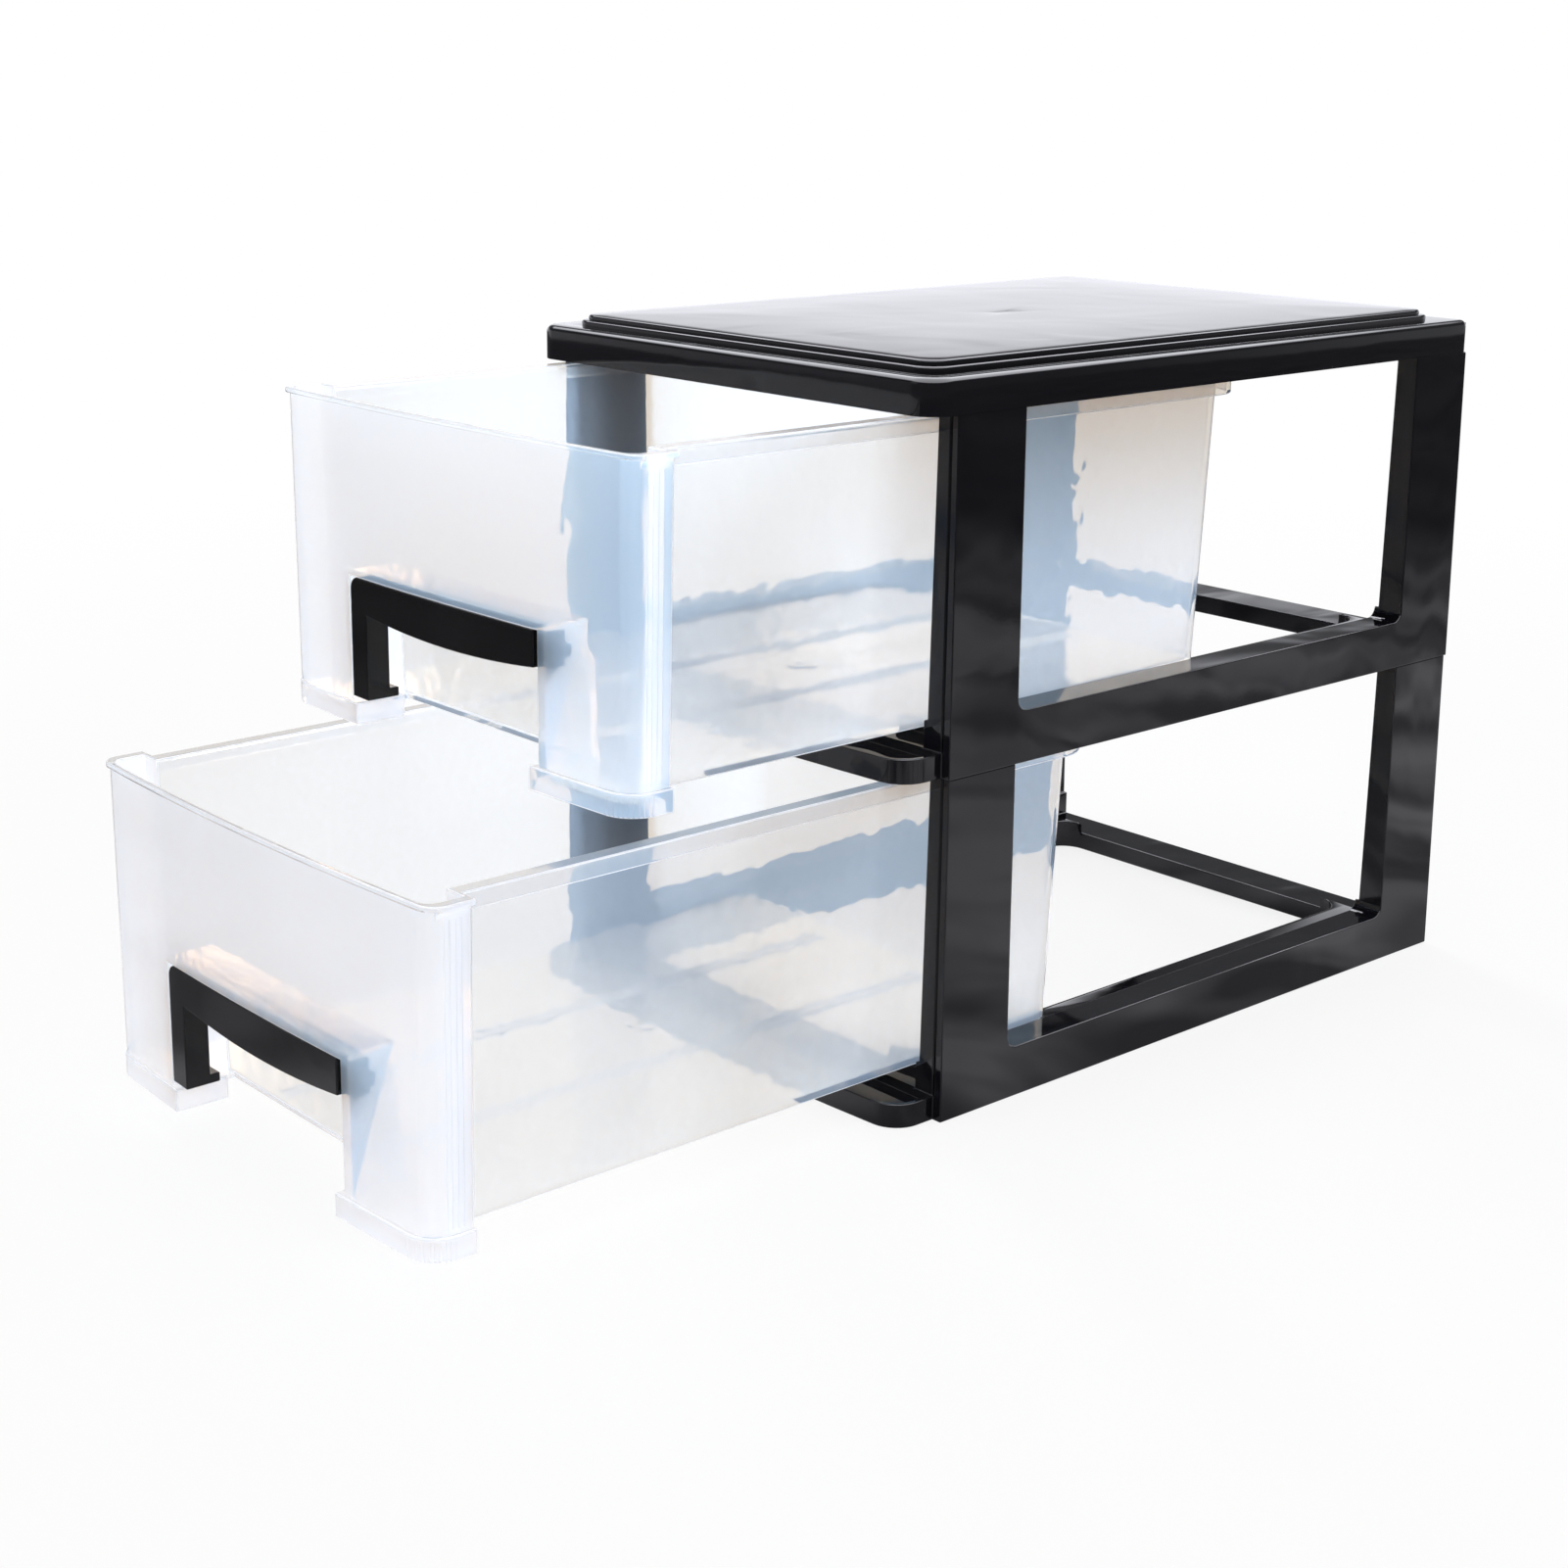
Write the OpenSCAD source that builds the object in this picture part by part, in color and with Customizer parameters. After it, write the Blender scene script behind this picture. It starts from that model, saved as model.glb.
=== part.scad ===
// Desktop drawer tower: two stacking frames, a cover, and two translucent drawers with clip-in handles.
// Millimetres. X runs across the front, Y runs back, Z is up. The drawers pull out towards -Y.
// The origin is on the table, in the middle of the wall that closes the base at the back.

/* [Tower] */
// Width over the side walls at the foot of a tier
tower_w = 194; // [176:1:240]
// Depth over the posts at the foot of a tier
tower_d = 260; // [230:1:320]
// Height of one tier, from the foot of its base to the top of its posts
tier_h = 112; // [104:1:150]
// How far each outer face leans in between the foot and the top of a tier
draft = 0.5; // [0.2:0.1:1]
// Wall thickness of the black mouldings
wall = 2; // [1.6:0.1:2.3]

/* [Frame] */
// Width of a post at its foot, seen from the front
post_w = 10.4; // [9.6:0.1:12]
// Width of a post at its top, seen from the front
post_top_w = 8.3; // [7.6:0.1:9]
// Depth of a post, front to back
post_d = 30; // [24:1:40]
// Height of the side rails
rail_h = 17; // [15:0.5:22]
// Width of the top of a side rail
rail_w = 11.7; // [11:0.1:13]
// Height of the runners that carry a drawer, along the inside of the side rails
runner_h = 12; // [11:0.5:13]
// How far a runner stands in from its side rail
runner_w = 14.3; // [11:0.1:18]
// Height of the front and rear bars, and of the rim of the ledge
bar_h = 8; // [7:0.5:9]
// Depth of the front bar, behind the faces of the front posts
front_bar_d = 12; // [9:0.5:18]
// Depth of the rear bar
rear_bar_d = 17.5; // [12:0.5:24]
// Corner radius of the opening in the base
base_hole_r = 10; // [6:1:16]
// How far the downturned lip round that opening stops above the table
lip_gap = 1; // [0.6:0.1:2]
// Radius of the fillets where the side rails meet the posts
window_r = 4; // [2:0.5:8]
// Distance of the groove down a front post from the side of the tower
groove_in = 3; // [2.4:0.1:4]
// Width of that groove
groove_w = 0.8; // [0.4:0.1:1.2]
// Depth of that groove
groove_d = 0.6; // [0.3:0.1:0.9]

/* [Ledge] */
// How far the ledge under a drawer front stands out from the posts, at its middle
ledge_out = 19.5; // [19:0.5:26]
// How far each end of the ledge is set in from the side of the tower
ledge_inset = 3.5; // [3:0.1:4.4]
// Height of the floor of the ledge's shallow tray
ledge_floor = 5; // [4.6:0.1:6]
// Corner radius of the ledge
ledge_r = 10; // [7:0.5:14]

/* [Plugs] */
// Height of the plugs on the post tops
plug_h = 4; // [3:0.5:7]
// Gap between a plug and the hollow that it enters
plug_gap = 0.2; // [0.1:0.05:0.4]

/* [Cover] */
// Height of the cover's skirt
skirt_h = 11.5; // [9:0.5:16]
// How far the cover overhangs the front posts
cover_out = 12; // [10:0.5:18]
// How far the cover stands proud of the post tops at its sides and back
cover_lip = 0.5; // [0.3:0.1:0.5]
// Radius of the cover's front corners
cover_front_r = 9; // [5:0.5:14]
// Radius of the cover's back corners
cover_back_r = 4; // [2.5:0.5:8]
// Width of the border round the raised panel
border_w = 9; // [6:0.5:14]
// Height of each of the two steps of the raised panel
step_h = 1.8; // [1:0.1:2.5]
// How far the upper step is set in from the lower one
step_in = 2; // [1:0.5:4]
// Corner radius of the raised panel
panel_r = 8; // [5:0.5:12]
// How much the raised panel is crowned
crown_h = 0.9; // [0.4:0.1:1.5]
// How far the top of the crown is set in from the edge of the panel
crown_in = 50; // [30:1:70]

/* [Drawer] */
// Wall thickness of the drawers
drawer_wall = 1.6; // [1.2:0.1:2]
// How far each side of a drawer front is set in from the side of the tower
front_inset = 7; // [6.5:0.1:8]
// How far the drawer front is bowed forwards at its middle
bow = 3; // [1:0.5:4]
// How much each side of the drawer front leans in towards its foot
front_lean = 1.5; // [0.5:0.1:2]
// Corner radius of the drawer front
front_r = 6; // [4:0.5:9]
// How deep the drawer front is, from its middle to the faces that shut against the posts
return_d = 17.5; // [14:0.5:18]
// How much each side of the drawer's box leans in towards the floor
side_lean = 3; // [1:0.5:4]
// How much the back of the drawer's box leans in towards the floor
back_lean = 2.5; // [1:0.5:6]
// Corner radius at the back of the drawer's box
back_r = 12; // [8:1:20]
// Thickness of the rim
rim_t = 1.6; // [1.2:0.1:2]
// Height of the lip that hangs from the rim
rim_h = 5.5; // [4:0.5:7]
// How far the rim stands out from the sides and the back of the box
rim_out = 4; // [3:0.5:5]
// How far the rim flares out past the sides of the drawer front
rim_flare = 2.5; // [1:0.5:3]
// How far the rim stands proud of the drawer front
rim_proud = 0.3; // [0.1:0.1:0.6]
// Height of the floor's ribs
rib_h = 0.8; // [0.4:0.1:1.5]
// Width of the floor's ribs
rib_w = 1.2; // [0.8:0.1:2]
// Distance between the two ribs of a pair
rib_pitch = 4; // [3:0.5:8]
// Distance of each pair of ribs from the middle of the floor
rib_x = 26; // [15:1:40]

/* [Drawer feet] */
// Height of the feet under the drawer front
foot_h = 7.3; // [6:0.1:8]
// How far the feet stand out from the drawer front
foot_out = 1.5; // [1:0.1:2.2]
// Where the feet end, from the middle of the drawer
foot_in = 46; // [40:0.5:47]
// Corner radius of the feet
foot_r = 11; // [8:0.5:13]

/* [Handle and pocket] */
// Left edge of the opening for the fingers, from the middle of the drawer
door_left = 50.6; // [48:0.1:56]
// Right edge of that opening, from the middle of the drawer
door_right = 48.5; // [47:0.1:56]
// Height of the top of the handle over the foot of a tier
handle_z = 55.8; // [50:0.1:64]
// Height of the handle's bar at its ends
bar_end_h = 11.3; // [9:0.1:14]
// How much deeper the bar is at its middle
bar_sag = 2.3; // [1:0.1:4]
// Width of the handle's leg
leg_w = 9.1; // [7:0.1:12]
// Height of the foot of the leg over the foot of a tier
leg_z = 17; // [16:0.1:20]
// Depth of the bar and the leg
handle_d = 8; // [7:0.1:9]
// Radius of the handle's outer corner
handle_r = 4; // [2:0.5:5]
// Wall thickness of the handle, which is hollow from behind
handle_wall = 1.8; // [1.4:0.1:2.2]
// Height of the hook at the foot of the leg
hook_h = 3; // [2:0.1:4]
// How far the hook stands out behind the leg
hook_out = 3.3; // [2:0.1:4]
// Gap round the handle in its opening
handle_gap = 0.3; // [0.2:0.05:0.5]
// How far the bar stops short of the right edge of the opening
bar_end_gap = 2; // [1:0.1:3]
// How far the tenon at the bar's end reaches behind the drawer front
tenon_l = 3; // [2.5:0.1:4]
// How far the narrow tongue reaches on from the tenon
tongue_l = 3; // [2:0.1:4]
// Height and depth of the tongue
tongue_w = 4; // [3:0.1:5]
// Depth of the pocket for the fingers, under its ceiling
pocket_top_d = 16.7; // [15:0.1:20]
// Depth of the pocket at its shoulder
pocket_mid_d = 19.3; // [17:0.1:24]
// Depth of the pocket at its open foot
pocket_low_d = 22.4; // [19:0.1:28]
// Depth of the pocket just above its flared foot
pocket_foot_d = 20.5; // [18:0.1:26]
// Height of the flare at the foot of the pocket
flare_h = 3; // [1:0.1:5]
// Distance of the shoulder from the ceiling
shoulder_drop = 11.3; // [8:0.1:16]
// Height of the sloping shoulder
shoulder_h = 4; // [2:0.1:6]

/* [Fit] */
// Gap between a drawer and the runners under it
slide_gap = 0.3; // [0.2:0.05:0.5]
// Gap between the feet and the rim of the ledge
foot_gap = 0.4; // [0.3:0.05:0.6]
// Gap between a shut drawer front and the posts
shut_gap = 0.3; // [0.2:0.05:0.5]
// Gap between the rim of a drawer and what is above it
top_gap = 1; // [0.6:0.1:2]
// Gap between the rim of a drawer and the post beside it
side_gap = 2.2; // [1.2:0.1:2.5]
// Gap between a shut drawer and the back of the tower
back_gap = 7.5; // [5:0.5:14]

/* [Pose] */
// How far the upper drawer is pulled out
upper_pull = 102; // [0:1:190]
// How far the lower drawer is pulled out
lower_pull = 171; // [0:1:190]

/* [Hidden] */
$fn = 96;
// Overlap that lets a cut run clear of the face it opens
over = 1;
// Thickness of the slabs that a leaning form is spanned between
slab = 0.01;
// Sides of a rounded corner and of a shallow bow, where an outline is spanned
corner_steps = 8;
bow_steps = 18;

half_w = tower_w / 2;
half_d = tower_d / 2;
origin_y = half_d - wall / 2;
rail_in = half_w - rail_w;
hole_half = rail_in - runner_w;
hole_front = front_bar_d - half_d;
hole_back = half_d - rear_bar_d;

// The drawer's own frame: its middle front is at y = 0, and z counts from the foot of its tier
front_half = half_w - front_inset;
bow_r = (front_half * front_half + bow * bow) / (2 * bow);
ledge_half = half_w - ledge_inset;
box_z = runner_h + slide_gap;
rim_z = tier_h - top_gap;
rim_half = half_w - draft - post_top_w - side_gap;
box_half = rim_half - rim_out;
shut_y = -half_d - shut_gap - return_d;
drawer_l = half_d - back_gap - shut_y;
box_l = drawer_l - rim_out - rim_t;
foot_z = bar_h + foot_gap;
foot_half = front_half - front_lean + foot_out;

// The handle, in the drawer's frame
handle_x0 = handle_gap - door_left;
handle_x1 = door_right - bar_end_gap;
bar_z = handle_z - bar_end_h;
handle_back = handle_d + bow_at(door_left);
tenon_y0 = bow_at(door_right) + drawer_wall + 2 * handle_gap;

function bow_at(x) = bow_r - sqrt(bow_r * bow_r - x * x);

// Points of an arc, without its last one
function arc(c, r, a0, a1, n) =
    [for (i = [0 : n - 1]) c + r * [cos(a0 + (a1 - a0) * i / n), sin(a0 + (a1 - a0) * i / n)]];

// Outline that is bowed forwards to y0, with straight sides to y1 and its front corners rounded
function bowed_outline(half, y0, y1, r) =
    let (cx = half - r,
         cy = y0 + bow_r - sqrt((bow_r - r) * (bow_r - r) - cx * cx),
         a = atan2(cy - y0 - bow_r, cx))
    concat([[-half, y1]],
           arc([-cx, cy], r, -180, -180 - a, corner_steps),
           arc([0, y0 + bow_r], bow_r, -180 - a, a, bow_steps),
           arc([cx, cy], r, a, 0, corner_steps),
           [[half, cy], [half, y1]]);

// Outline with a straight front at y0 and its back corners rounded
function box_outline(half, y0, y1, r) =
    concat([[-half, y0], [half, y0]],
           arc([half - r, y1 - r], r, 0, 90, corner_steps),
           arc([r - half, y1 - r], r, 90, 180, corner_steps),
           [[-half, y1 - r]]);

// Solid that is spanned between two outlines of as many points, both anticlockwise from above
module spanned(low, high, z0, z1) {
    n = len(low);
    polyhedron(
        points = concat([for (p = low) [p.x, p.y, z0]], [for (p = high) [p.x, p.y, z1]]),
        faces = concat([[for (i = [0 : n - 1]) i]], [[for (i = [0 : n - 1]) 2 * n - 1 - i]],
                       [for (i = [0 : n - 1]) [i, n + i, n + (i + 1) % n]],
                       [for (i = [0 : n - 1]) [i, n + (i + 1) % n, (i + 1) % n]]));
}

module rounded_slab(x0, x1, y0, y1, h, front_corner, back_corner) {
    linear_extrude(h) {
        difference() {
            translate([x0, y0]) square([x1 - x0, y1 - y0]);
            for (x = [x0, x1]) {
                translate([x, y0]) square(2 * front_corner, center = true);
                translate([x, y1]) square(2 * back_corner, center = true);
            }
        }
        for (s = [0, 1]) {
            translate([s == 0 ? x0 + front_corner : x1 - front_corner, y0 + front_corner])
                circle(front_corner);
            translate([s == 0 ? x0 + back_corner : x1 - back_corner, y1 - back_corner])
                circle(back_corner);
        }
    }
}

module both_sides() {
    children();
    mirror([1, 0, 0]) children();
}

module front_and_back() {
    children();
    mirror([0, 1, 0]) children();
}

module at_tower(z) {
    translate([0, -origin_y, z]) children();
}

// ---- Tier frame: x and y from the middle of the tower, z from the foot of the tier ----

// Block inside the four leaning outer faces, g in from each of them
module tier_block(g) {
    w = tower_w - 2 * g;
    d = tower_d - 2 * g;
    linear_extrude(tier_h, scale = [(w - 2 * draft) / w, (d - 2 * draft) / d], slices = 1, $fn = 4)
        square([w, d], center = true);
}

// The back right post, g in from each of its faces
module post_form(g) {
    foot_x = half_w - post_w + g;
    top_x = half_w - draft - post_top_w + g;
    intersection() {
        tier_block(g);
        translate([0, half_d, 0]) rotate([90, 0, 0]) linear_extrude(post_d - g)
            polygon([[foot_x, 0], [half_w, 0], [half_w, tier_h], [top_x, tier_h]]);
    }
}

module four_posts() {
    both_sides() front_and_back() children();
}

module base_hole(g, h) {
    rounded_slab(-hole_half - g, hole_half + g, hole_front - g, hole_back + g, h,
                 base_hole_r + g, base_hole_r + g);
}

// Base of a tier, g in from each of its faces apart from the underside
module base_form(g) {
    difference() {
        intersection() {
            tier_block(g);
            union() {
                translate([-half_w, -half_d, 0]) cube([tower_w, tower_d, bar_h - g]);
                both_sides() {
                    translate([0, hole_front + g, 0])
                        cube([half_w, hole_back - hole_front - 2 * g, runner_h - g]);
                    translate([rail_in + g, -half_d, 0]) cube([rail_w, tower_d, rail_h - g]);
                }
            }
        }
        translate([0, 0, -over]) base_hole(g, rail_h + 2 * over);
    }
}

module ledge_form(g, z0, z1) {
    translate([0, 0, z0]) linear_extrude(z1 - z0)
        polygon(bowed_outline(ledge_half - g, -half_d - ledge_out + g, -half_d + wall - g, ledge_r - g));
}

module window_fillets() {
    four_posts() intersection() {
        tier_block(0);
        translate([rail_in, half_d - post_d - window_r, rail_h]) difference() {
            cube([rail_w, window_r, window_r]);
            translate([-over, 0, window_r]) rotate([0, 90, 0]) cylinder(r = window_r, h = rail_w + 2 * over);
        }
    }
}

module post_grooves() {
    both_sides() translate([half_w - groove_in - groove_w, -half_d - over, bar_h])
        cube([groove_w, over + draft + groove_d, tier_h - bar_h + over]);
}

module tier_frame() {
    difference() {
        union() {
            base_form(0);
            four_posts() post_form(0);
            ledge_form(0, 0, bar_h);
            window_fillets();
        }
        translate([0, 0, -slab]) base_form(wall);
        four_posts() intersection() {
            translate([0, 0, -slab]) post_form(wall);
            translate([0, 0, -over]) cube([half_w, half_d, tier_h - wall + over]);
        }
        ledge_form(wall, ledge_floor, bar_h + over);
        ledge_form(wall, -over, ledge_floor - wall);
        translate([0, 0, -over]) base_hole(wall + over, over + lip_gap);
        post_grooves();
    }
    four_posts() translate([0, 0, tier_h - slab]) intersection() {
        post_form(wall + plug_gap);
        cube([half_w, half_d, plug_h]);
    }
}

// ---- Cover: z from the tops of the upper posts ----

module cover_slab(g, z0, z1) {
    side = half_w - draft + cover_lip - g;
    translate([0, 0, z0])
        rounded_slab(-side, side, -half_d + draft - cover_out + g, half_d - draft + cover_lip - g, z1 - z0,
                     cover_front_r - g, cover_back_r - g);
}

module raised_slab(g, z0, z1) {
    side = half_w - draft + cover_lip - border_w - g;
    translate([0, 0, z0])
        rounded_slab(-side, side, -half_d + draft - cover_out + border_w + g,
                     half_d - draft + cover_lip - border_w - g, z1 - z0, panel_r, panel_r);
}

module crown() {
    hull() {
        raised_slab(step_in, skirt_h + 2 * step_h - slab, skirt_h + 2 * step_h);
        raised_slab(crown_in, skirt_h + 2 * step_h, skirt_h + 2 * step_h + crown_h);
    }
}

module cover() {
    difference() {
        union() {
            cover_slab(0, 0, skirt_h);
            raised_slab(0, skirt_h - slab, skirt_h + step_h);
            raised_slab(step_in, skirt_h, skirt_h + 2 * step_h);
            crown();
        }
        cover_slab(wall, -over, skirt_h - wall);
        raised_slab(step_in + wall, 0, skirt_h + 2 * step_h - wall);
    }
    four_posts() difference() {
        intersection() {
            post_form(0);
            cube([half_w, half_d, skirt_h - wall + slab]);
        }
        translate([0, 0, -slab]) intersection() {
            post_form(wall);
            cube([half_w, half_d, skirt_h - wall + slab]);
        }
    }
}

// ---- Drawer: in its own frame ----

module at_drawer(tier, pull) {
    at_tower(tier * tier_h) translate([0, shut_y - pull, 0]) children();
}

// Front of the drawer, g in from each of its faces, from z0 to z1
module front_form(g, z0, z1) {
    spanned(bowed_outline(front_half - front_lean - g, g, return_d - g, front_r - g),
            bowed_outline(front_half - g, g, return_d - g, front_r - g), z0, z1);
}

// Box of the drawer, g in from each of its faces, from z0 to z1
module box_form(g, z0, z1) {
    spanned(box_outline(box_half - side_lean - g, return_d / 2, box_l - back_lean - g, back_r - g),
            box_outline(box_half - g, return_d / 2, box_l - g, back_r - g), z0, z1);
}

module rim_ring(g, z0, z1) {
    translate([0, 0, z0]) linear_extrude(z1 - z0)
        polygon(box_outline(rim_half - g, return_d - rim_t, drawer_l - g, back_r + rim_out - g));
}

module rim() {
    difference() {
        rim_ring(0, rim_z - rim_h, rim_z);
        rim_ring(rim_t, rim_z - rim_h - over, rim_z - rim_t);
    }
    translate([0, 0, rim_z - rim_t]) linear_extrude(rim_t)
        polygon(bowed_outline(front_half + rim_flare, -rim_proud, return_d, front_r));
}

// Pocket behind the opening for the fingers, g out from each of its faces, open at its foot
module pocket_form(g) {
    shoulder_z = handle_z - shoulder_drop;
    translate([-door_left - g, 0, 0]) rotate([90, 0, 90]) linear_extrude(door_left + door_right + 2 * g)
        polygon([[-foot_out - over, 0],
                 [pocket_low_d + g, 0],
                 [pocket_low_d + g, box_z],
                 [pocket_foot_d + g, box_z + flare_h],
                 [pocket_mid_d + g, shoulder_z],
                 [pocket_top_d + g, shoulder_z + shoulder_h],
                 [pocket_top_d + g, handle_z + g],
                 [-foot_out - over, handle_z + g]]);
}

// The right foot, g in from each of its faces, from z0 to z1
module foot_form(g, z0, z1) {
    intersection() {
        translate([0, 0, z0]) linear_extrude(z1 - z0)
            polygon(bowed_outline(foot_half - g, g - foot_out, return_d - g, foot_r - g));
        translate([foot_in + g, -foot_out - over, z0 - over])
            cube([front_half, return_d + foot_out + 2 * over, z1 - z0 + 2 * over]);
    }
}

module floor_ribs() {
    rib_y = pocket_low_d + 2 * drawer_wall;
    for (x = [-rib_x, rib_x], k = [-1, 1])
        translate([x + k * rib_pitch / 2 - rib_w / 2, rib_y, box_z + drawer_wall / 2])
            cube([rib_w, box_l - back_lean - back_r - rib_y, drawer_wall / 2 + rib_h]);
}

// The room inside a drawer, round the walls of the pocket
module drawer_room() {
    difference() {
        union() {
            front_form(drawer_wall, box_z + drawer_wall, rim_z + over);
            box_form(drawer_wall, box_z + drawer_wall, rim_z + over);
        }
        pocket_form(drawer_wall);
    }
}

module drawer() {
    difference() {
        union() {
            front_form(0, box_z, rim_z);
            box_form(0, box_z, rim_z);
            rim();
        }
        drawer_room();
        pocket_form(0);
        translate([door_right - over, tenon_y0 - handle_gap, bar_z])
            cube([over + drawer_wall + over, handle_back - tenon_y0 + 2 * handle_gap, bar_end_h]);
    }
    both_sides() difference() {
        foot_form(0, foot_z, foot_z + foot_h);
        foot_form(drawer_wall, foot_z - over, box_z);
        drawer_room();
    }
    floor_ribs();
}

// ---- Handle: in the drawer's frame ----

// Front view of the bar and the leg, with the bar's lower edge bowed down
module handle_outline() {
    span = handle_x1 - handle_x0 - leg_w;
    sag_r = (span * span / 4 + bar_sag * bar_sag) / (2 * bar_sag);
    mid = (handle_x1 + handle_x0 + leg_w) / 2;
    half_angle = asin(span / 2 / sag_r);
    polygon(concat(
        arc([handle_x0 + handle_r, handle_z - handle_r], handle_r, 180, 90, corner_steps),
        [[handle_x0 + handle_r, handle_z], [handle_x1, handle_z]],
        arc([mid, bar_z + sag_r * cos(half_angle)], sag_r, half_angle - 90, -half_angle - 90, bow_steps),
        [[handle_x0 + leg_w, bar_z], [handle_x0 + leg_w, leg_z], [handle_x0, leg_z]]));
}

module handle() {
    intersection() {
        union() {
            difference() {
                translate([0, handle_back, 0]) rotate([90, 0, 0]) linear_extrude(handle_back + over) handle_outline();
                translate([handle_x0 + handle_wall, bow_at(door_left) + handle_wall, leg_z + hook_h])
                    cube([leg_w - 2 * handle_wall, handle_d, handle_z - leg_z - hook_h - handle_wall]);
                translate([handle_x0 + handle_wall, bow_at(door_left) + handle_wall, bar_z + handle_wall])
                    cube([handle_x1 - handle_x0 - 2 * handle_wall, handle_d, bar_end_h - 2 * handle_wall]);
            }
            translate([handle_x0, handle_back - over, leg_z]) cube([leg_w, hook_out + over, hook_h]);
            translate([handle_x1 - handle_wall, tenon_y0, bar_z + handle_gap])
                cube([handle_wall + bar_end_gap + tenon_l, handle_back - tenon_y0, bar_end_h - 2 * handle_gap]);
            translate([handle_x1, handle_back - tongue_w, handle_z - bar_end_h / 2 - tongue_w / 2])
                cube([bar_end_gap + tenon_l + tongue_l, tongue_w, tongue_w]);
        }
        translate([0, 0, leg_z - over]) linear_extrude(handle_z - leg_z + 2 * over)
            polygon(bowed_outline(front_half, 0, return_d + pocket_low_d, front_r));
    }
}

module top_cover() { color("#1c1c20") at_tower(2 * tier_h) cover(); }
module upper_frame() { color("#26262a") at_tower(tier_h) tier_frame(); }
module lower_frame() { color("#26262a") at_tower(0) tier_frame(); }
module upper_drawer() { color("#dfe6f2") at_drawer(1, upper_pull) drawer(); }
module upper_handle() { color("#1c1c20") at_drawer(1, upper_pull) handle(); }
module lower_drawer() { color("#dfe6f2") at_drawer(0, lower_pull) drawer(); }
module lower_handle() { color("#1c1c20") at_drawer(0, lower_pull) handle(); }

top_cover();
upper_frame();
lower_frame();
upper_drawer();
upper_handle();
lower_drawer();
lower_handle();
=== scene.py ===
# Desktop drawer tower: two stacking black frames, a moulded cover and two clear drawers with clip-in handles.
import math

import bmesh
import bpy
from mathutils import Matrix, Vector


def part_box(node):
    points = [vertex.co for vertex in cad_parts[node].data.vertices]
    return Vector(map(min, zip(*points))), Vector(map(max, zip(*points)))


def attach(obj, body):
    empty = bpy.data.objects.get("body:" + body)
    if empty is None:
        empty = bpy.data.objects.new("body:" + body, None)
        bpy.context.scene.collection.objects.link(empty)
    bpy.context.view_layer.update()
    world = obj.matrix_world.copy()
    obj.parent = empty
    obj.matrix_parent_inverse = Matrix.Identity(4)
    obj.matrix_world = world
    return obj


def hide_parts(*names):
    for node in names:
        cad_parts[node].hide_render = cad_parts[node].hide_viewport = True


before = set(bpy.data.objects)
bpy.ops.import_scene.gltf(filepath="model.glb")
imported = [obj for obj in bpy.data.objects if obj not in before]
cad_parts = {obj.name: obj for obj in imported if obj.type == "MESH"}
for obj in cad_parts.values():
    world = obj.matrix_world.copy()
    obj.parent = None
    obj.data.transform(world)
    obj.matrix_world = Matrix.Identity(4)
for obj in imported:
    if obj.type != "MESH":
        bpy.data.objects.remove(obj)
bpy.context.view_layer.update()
scene = bpy.context.scene
MM = 0.001


# ---- Camera and studio ----
# A long lens looks down a little from the right, at the tower's front right corner.
# The lens is shifted a little, which sets where the object stands in the view.
CAMERA_PLACE = (0.6113, -0.7866, 0.3282)
CAMERA_TURN = math.radians(49.762)
CAMERA_DIP = math.radians(13.418)
CAMERA_ROLL = math.radians(0.245)
LENS, SENSOR = 57.6, 36
SHIFT_ACROSS, SHIFT_UP = 0.0421, -0.0862
NEAREST_SEEN = 0.01
# Enough bounces to look through both walls of both drawers
GLASS_BOUNCES, CLEAR_BOUNCES = 24, 48

camera = bpy.data.objects.new("camera", bpy.data.cameras.new("camera"))
scene.collection.objects.link(camera)
camera.data.lens = LENS
camera.data.sensor_width = SENSOR
camera.data.shift_x = SHIFT_ACROSS
camera.data.shift_y = SHIFT_UP
camera.data.clip_start = NEAREST_SEEN
camera.location = CAMERA_PLACE
camera.rotation_euler = (
    Matrix.Rotation(CAMERA_TURN, 3, "Z")
    @ Matrix.Rotation(math.pi / 2 - CAMERA_DIP, 3, "X")
    @ Matrix.Rotation(CAMERA_ROLL, 3, "Z")
).to_euler()
scene.camera = camera

scene.view_settings.view_transform = "Standard"
scene.cycles.max_bounces = GLASS_BOUNCES
scene.cycles.transmission_bounces = GLASS_BOUNCES
scene.cycles.transparent_max_bounces = CLEAR_BOUNCES


def feed(tree, value, socket):
    """Links another node's socket to this one, or sets a plain value on it."""
    if isinstance(value, bpy.types.NodeSocket):
        tree.links.new(value, socket)
    else:
        socket.default_value = value


def node(tree, kind, **values):
    """Adds a shader node. Each value feeds the socket of that name, with _ for a space, or is set on the node."""
    made = tree.nodes.new(kind)
    for name, value in values.items():
        socket = made.inputs.get(name.replace("_", " "))
        if socket is None:
            setattr(made, name, value)
        else:
            feed(tree, value, socket)
    return made


def worked(tree, operation, *values, **settings):
    """The result of a Math node."""
    made = node(tree, "ShaderNodeMath", operation=operation, **settings)
    for value, socket in zip(values, made.inputs):
        feed(tree, value, socket)
    return made.outputs[0]


def measured(tree, operation, place, fixed):
    """The number that a Vector Math node gives for a place and a fixed vector."""
    made = node(tree, "ShaderNodeVectorMath", operation=operation, Vector=place)
    made.inputs[1].default_value = fixed
    return made.outputs["Value"]


def ramp(tree, value, reach, levels):
    """Goes from the first level to the second while the value goes over its reach, and is flat outside it."""
    made = node(tree, "ShaderNodeMapRange", Value=value, From_Min=reach[0], From_Max=reach[1],
                To_Min=levels[0], To_Max=levels[1])
    return made.outputs[0]


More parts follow.
